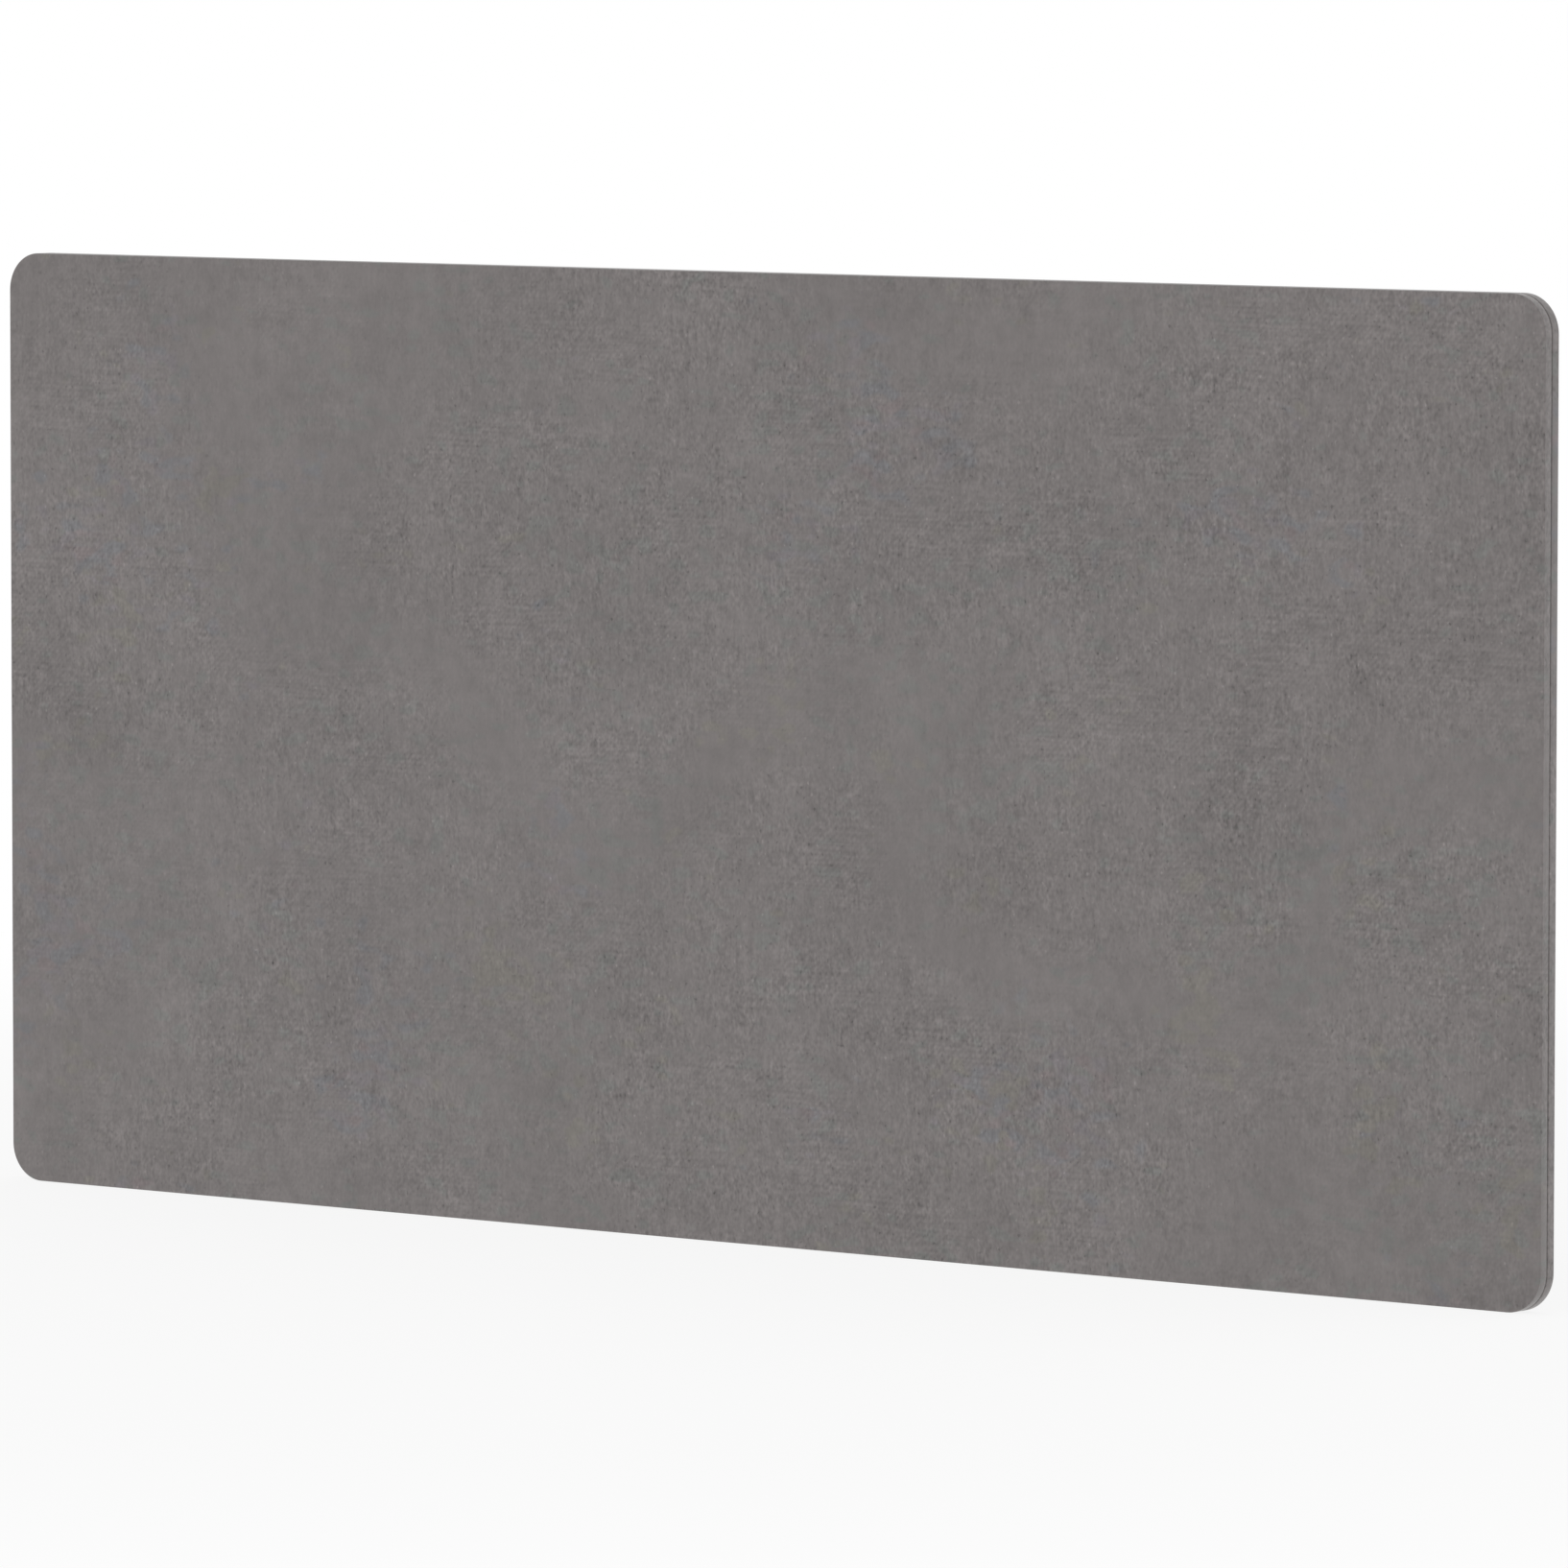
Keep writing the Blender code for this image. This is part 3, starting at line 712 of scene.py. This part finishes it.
def fulled_wool():
    """Fulled melange wool: matt warm grey with upright slivers, cloudy, tinted here and there.

    The fulling hides the twill but for faint threads and slanting ribs in patches, and leaves
    the cloth more grainy in some places than in others, with winding smooth bands. The fuzz on
    it lightens what is seen at a slant.
    """
    finish, tree, shader, in_mm = new_finish(
        "fulled_wool", roughness=0.95, ior=1.55, specular=0.2, laid_flat=True)
    marks = {}
    for layer, (kind, (width, height, detail)) in enumerate(WOOL_MARKS.items()):
        spread = node(tree, "VectorMath", {
            0: in_mm, 1: (1 / width, 1 / height, 0.0), 2: (0.0, 0.0, WOOL_LAYER_STEP * layer)},
            operation="MULTIPLY_ADD")
        pattern = node(tree, "TexNoise", {
            "Vector": spread.outputs[0], "Scale": 1.0, "Detail": detail})
        marks[kind] = pattern.outputs["Fac"]
    # Mirrored at its middle value, the pattern of the folds is highest along winding lines.
    marks["fold"] = node(tree, "Math", {
        0: marks["fold"], 1: NOISE_MIDDLE}, operation="PINGPONG").outputs[0]
    strengths = {}
    for effect, (kind, low, high, at_low, at_high) in WOOL_STRENGTHS.items():
        strengths[effect] = node(tree, "MapRange", {
            0: marks[kind], "From Min": low, "From Max": high,
            "To Min": at_low, "To Max": at_high}).outputs[0]

    grain = -sum(WOOL_GRAIN.values()) * NOISE_MIDDLE
    for kind, contrast in WOOL_GRAIN.items():
        grain = node(tree, "Math", {
            0: marks[kind], 1: contrast, 2: grain}, operation="MULTIPLY_ADD").outputs[0]
    slope, cycles = math.radians(RIB_SLOPE), math.tau / RIB_MM
    across_ribs = (cycles * math.sin(slope), -cycles * math.cos(slope), 0.0)
    phase = node(tree, "VectorMath", {
        0: in_mm, 1: across_ribs}, operation="DOT_PRODUCT").outputs["Value"]
    ribs = node(tree, "Math", {0: phase}, operation="SINE").outputs[0]
    weave = node(tree, "Math", {0: grain, 1: strengths["grain"]}, operation="MULTIPLY").outputs[0]
    weave = node(tree, "Math", {
        0: ribs, 1: strengths["ribs"], 2: weave}, operation="MULTIPLY_ADD").outputs[0]
    for kind in ("weft", "warp"):
        thread = node(tree, "Math", {
            0: marks[kind], 1: NOISE_MIDDLE}, operation="SUBTRACT").outputs[0]
        weave = node(tree, "Math", {
            0: thread, 1: strengths[kind], 2: weave}, operation="MULTIPLY_ADD").outputs[0]
    for kind in ("fleck", "dark_speck"):
        weave = node(tree, "Math", {0: weave, 1: strengths[kind]}, operation="ADD").outputs[0]

    layers = [(marks[kind], contrast) for kind, contrast in WOOL_CLOUDS.items()]
    layers.append((weave, strengths["weave"]))
    shade = 1 - sum(WOOL_CLOUDS.values()) * NOISE_MIDDLE
    for pattern, contrast in layers:
        shade = node(tree, "Math", {
            0: pattern, 1: contrast, 2: shade}, operation="MULTIPLY_ADD").outputs[0]

    colour = linear(WOOL_COLOUR)
    for kind, (tint, lot, gathered, start) in WOOL_TINTS.items():
        height = node(tree, "Math", {
            0: marks[lot], 1: gathered, 2: marks[kind]}, operation="MULTIPLY_ADD").outputs[0]
        share = node(tree, "MapRange", {
            0: height, "From Min": start, "From Max": start + TINT_EDGE}).outputs[0]
        colour = node(tree, "Mix", {
            0: share, 6: colour, 7: linear(tint)}, data_type="RGBA").outputs[2]
    shaded = node(tree, "VectorMath", {0: colour, "Scale": shade}, operation="SCALE")
    relief = node(tree, "Bump", {"Height": weave, "Distance": WOOL_RELIEF})
    shader.inputs["Sheen Weight"].default_value = WOOL_SHEEN
    shader.inputs["Sheen Roughness"].default_value = WOOL_SHEEN_ROUGHNESS
    tree.links.new(shaded.outputs[0], shader.inputs["Base Color"])
    tree.links.new(strengths["roughness"], shader.inputs["Roughness"])
    tree.links.new(relief.outputs[0], shader.inputs["Normal"])
    return finish


def cover_path(side, strip_half):
    """The cover's section: face, arris, edge, rolled lip, hem in the kerf, and back inside."""
    face, lip = cad_high.y, abs(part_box("front_cover")[1].y)
    hem_inner = strip_half + HEM_CLEARANCE
    hem_outer = hem_inner + HEM_THICKNESS
    inside = face - CLOTH_THICKNESS
    path = [(inset, face) for inset in FACE_INSETS]
    path += arc((ARRIS_RADIUS, face - ARRIS_RADIUS), ARRIS_RADIUS, 90, 180, ARRIS_STEPS)
    path += arc((LIP_RADIUS, lip + LIP_RADIUS), LIP_RADIUS, 180, 270, LIP_STEPS)
    path += [
        (CLOTH_THICKNESS, lip),
        (CLOTH_THICKNESS, hem_inner),
        (CLOTH_THICKNESS + HEM_DEPTH, hem_inner),
        (CLOTH_THICKNESS + HEM_DEPTH, hem_outer),
        (CLOTH_THICKNESS, hem_outer),
        (CLOTH_THICKNESS, inside),
    ]
    path += [(inset, inside) for inset in reversed(FACE_INSETS)]
    return [(inset, side * y) for inset, y in path]


wool_finish = fulled_wool()
strip_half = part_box("seam_strip")[1].y
width, height = cad_high.x - cad_low.x, cad_high.z - cad_low.z
for name, side in (("front_cover", -1), ("back_cover", 1)):
    sheet = RoundedSheet(cad_low, cad_high, CORNER_RADIUS, COVER_PITCH, CORNER_STEPS)
    path = cover_path(side, strip_half)
    mesh = soft_shell(
        name, sheet, path, relief=COVER_RELIEF, relief_mm=COVER_RELIEF_MM,
        cut_from=(side * width, 0.0))
    cover = add_piece("wool_" + name, mesh, wool_finish)
    if name == "back_cover":
        punch(cover, hole_cutter)
    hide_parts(name)
    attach(cover, "root")
bpy.data.objects.remove(hole_cutter)


# ---- Studio ------------------------------------------------------------------------------
# White surroundings and a white floor light the screen evenly from all round, the floor a
# little more strongly, and one large softbox stands high on the right. The camera is far off
# to the right, with a long lens.

FLOOR_SIZE = 16.0
FLOOR_GRID = 8
FLOOR_COLOUR = "EEEEEE"
FLOOR_MOTTLE_MM = 500.0
FLOOR_MOTTLE = (0.995, 1.005)
SHADOW_SHARE = 0.16
SHADOW_FADES_MM = (1200.0, 3000.0)
PLAIN_WHITE = "FFFFFF"
AMBIENT = 0.828
FLOOR_GLOW = 0.94
SOFTBOX_PLACE = Vector((6.0, -2.8, 3.2))
SOFTBOX_SIZE = 4.0
SOFTBOX_POWER = 15.0
SOFTBOX_AIM = Vector((0.0, 0.0, 0.4))
CAMERA_AZIMUTH = 38.122
CAMERA_ELEVATION = 4.324
CAMERA_DISTANCE = 9.964
CAMERA_AIM_X = 0.0466
CAMERA_AIM_Z = 0.3820
CAMERA_ROLL = 0.048
LENS = 279.25
SENSOR = 36.0


def white_glow(tree, as_light):
    """The strength of something white that shines.

    It is plain white to the eye and in reflections, and as a light it has another strength.
    """
    rays = node(tree, "LightPath").outputs
    seen = node(tree, "Math", {
        0: rays["Is Camera Ray"], 1: rays["Is Glossy Ray"]}, operation="MAXIMUM").outputs[0]
    seen = node(tree, "Math", {
        0: seen, 1: rays["Is Transmission Ray"]}, operation="MAXIMUM").outputs[0]
    return node(tree, "MapRange", {0: seen, "To Min": as_light, "To Max": 1.0}).outputs[0]


def painted_floor():
    """Matt white paint on a floor that shines of itself, so that it looks plain white.

    A share of it takes the screen's soft shadow, and that share fades out with distance.
    """
    finish, tree, shader, in_mm = new_finish("painted_floor", roughness=0.9, specular=0.0)
    mottle = node(tree, "TexNoise", {
        "Vector": in_mm, "Scale": 1 / FLOOR_MOTTLE_MM, "Detail": 2.0}).outputs["Fac"]
    low, high = FLOOR_MOTTLE
    shade = node(tree, "MapRange", {0: mottle, "To Min": low, "To Max": high}).outputs[0]
    colour = node(tree, "VectorMath", {
        0: linear(FLOOR_COLOUR)[:3], "Scale": shade}, operation="SCALE")
    tree.links.new(colour.outputs[0], shader.inputs["Base Color"])
    distance = node(tree, "VectorMath", {0: in_mm}, operation="LENGTH").outputs["Value"]
    near, far = SHADOW_FADES_MM
    shadowed = node(tree, "MapRange", {
        0: distance, "From Min": near, "From Max": far, "To Min": SHADOW_SHARE, "To Max": 0.0},
        interpolation_type="SMOOTHSTEP").outputs[0]
    white = node(tree, "Emission", {
        "Color": linear(PLAIN_WHITE), "Strength": white_glow(tree, FLOOR_GLOW)})
    blend = node(tree, "MixShader", {0: shadowed, 1: white.outputs[0], 2: shader.outputs[0]})
    tree.links.new(blend.outputs[0], tree.nodes["Material Output"].inputs["Surface"])
    return finish


bm = bmesh.new()
bmesh.ops.create_grid(bm, x_segments=FLOOR_GRID, y_segments=FLOOR_GRID, size=FLOOR_SIZE / 2)
floor = bpy.data.objects.new("floor", mesh_from(bm, "floor", sharp_angle=30))
floor.location = (0, 0, cad_low.z)
floor.data.materials.append(painted_floor())
bpy.context.scene.collection.objects.link(floor)

world = bpy.data.worlds.new("studio")
world.use_nodes = True
background = world.node_tree.nodes["Background"]
world.node_tree.links.new(white_glow(world.node_tree, AMBIENT), background.inputs["Strength"])
background.inputs["Color"].default_value = linear(PLAIN_WHITE)
bpy.context.scene.world = world

softbox = bpy.data.objects.new("softbox", bpy.data.lights.new("softbox", "AREA"))
softbox.data.shape = "SQUARE"
softbox.data.size = SOFTBOX_SIZE
softbox.data.energy = SOFTBOX_POWER
softbox.visible_camera = False
softbox.location = SOFTBOX_PLACE
softbox.rotation_euler = (SOFTBOX_AIM - SOFTBOX_PLACE).to_track_quat("-Z", "Y").to_euler()
bpy.context.scene.collection.objects.link(softbox)

azimuth, elevation = math.radians(CAMERA_AZIMUTH), math.radians(CAMERA_ELEVATION)
back = Vector((
    math.sin(azimuth) * math.cos(elevation),
    -math.cos(azimuth) * math.cos(elevation),
    math.sin(elevation)))
aim = Vector((CAMERA_AIM_X, cad_low.y, CAMERA_AIM_Z))
camera = bpy.data.objects.new("camera", bpy.data.cameras.new("camera"))
camera.data.sensor_width = SENSOR
camera.data.lens = LENS
camera.location = aim + back * CAMERA_DISTANCE
level = (-back).to_track_quat("-Z", "Y")
roll = Matrix.Rotation(math.radians(CAMERA_ROLL), 3, "Z").to_quaternion()
camera.rotation_mode = "QUATERNION"
camera.rotation_quaternion = level @ roll
bpy.context.scene.collection.objects.link(camera)
bpy.context.scene.camera = camera
bpy.context.scene.view_settings.view_transform = "Standard"
